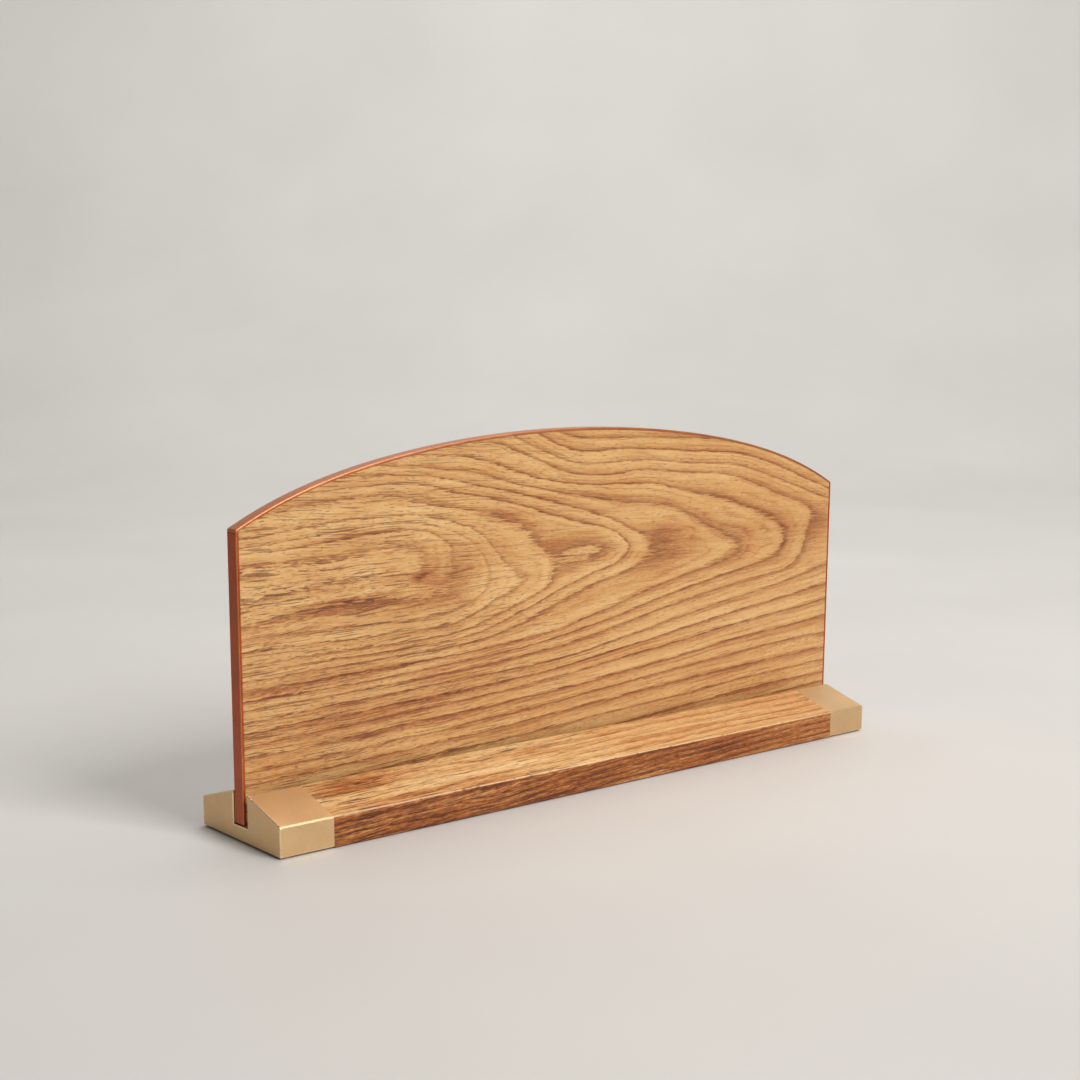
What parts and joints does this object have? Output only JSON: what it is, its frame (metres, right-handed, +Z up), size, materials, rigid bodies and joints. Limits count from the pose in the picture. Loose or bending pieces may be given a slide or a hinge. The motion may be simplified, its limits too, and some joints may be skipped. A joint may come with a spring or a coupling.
{
  "type": "desk name plate",
  "caption": "Blank desk name plate: an arched wood-grain panel with copper-brown edging stands in a slotted wood-grain base with satin gold metal ends, and slides or lifts out.",
  "frame": {"origin": "on the table, under the middle of the base", "axes": "+X along the plate to the right end as seen from the front, -Y is the front, +Z up"},
  "size_m": [0.302, 0.0524, 0.1381],
  "materials": {
    "profile_aluminium": "mill finish extrusion",
    "base_wood_grain": "satin open-pored wood grain along the base",
    "gold_metal": "bead-blasted champagne gold anodised, bright cut edges",
    "screw_steel": "plain",
    "pad_rubber": "matt",
    "packing_rubber": "matt",
    "panel_board": "raw fibreboard",
    "panel_wood_grain": "satin open-pored wood grain with a cathedral figure",
    "copper_edging": "satin copper-brown"
  },
  "bodies": {
    "base": {"base_profile": "profile_aluminium", "grain_wrap_front": "base_wood_grain", "grain_wrap_rear": "base_wood_grain", "end_cap_left": "gold_metal", "end_cap_right": "gold_metal", "cap_screw_left_front": "screw_steel", "cap_screw_left_rear": "screw_steel", "cap_screw_right_front": "screw_steel", "cap_screw_right_rear": "screw_steel", "foot_pad_left_front": "pad_rubber", "foot_pad_left_rear": "pad_rubber", "foot_pad_right_front": "pad_rubber", "foot_pad_right_rear": "pad_rubber"},
    "packing": {"packing_strip": "packing_rubber"},
    "panel": {"panel_core": "panel_board", "panel_face_front": "panel_wood_grain", "panel_face_rear": "panel_wood_grain", "edge_band_top": "copper_edging", "edge_band_left": "copper_edging", "edge_band_right": "copper_edging", "edge_band_bottom": "copper_edging"}
  },
  "joints": [
    {"name": "panel_along_slot", "type": "slide", "parent": "base", "child": "packing", "axis": [1, 0, 0], "range_m": [-0.303, 0.303]},
    {"name": "panel_lift", "type": "slide", "parent": "packing", "child": "panel", "axis": [0, 0, 1], "range_m": [0, 0.02]}
  ]
}
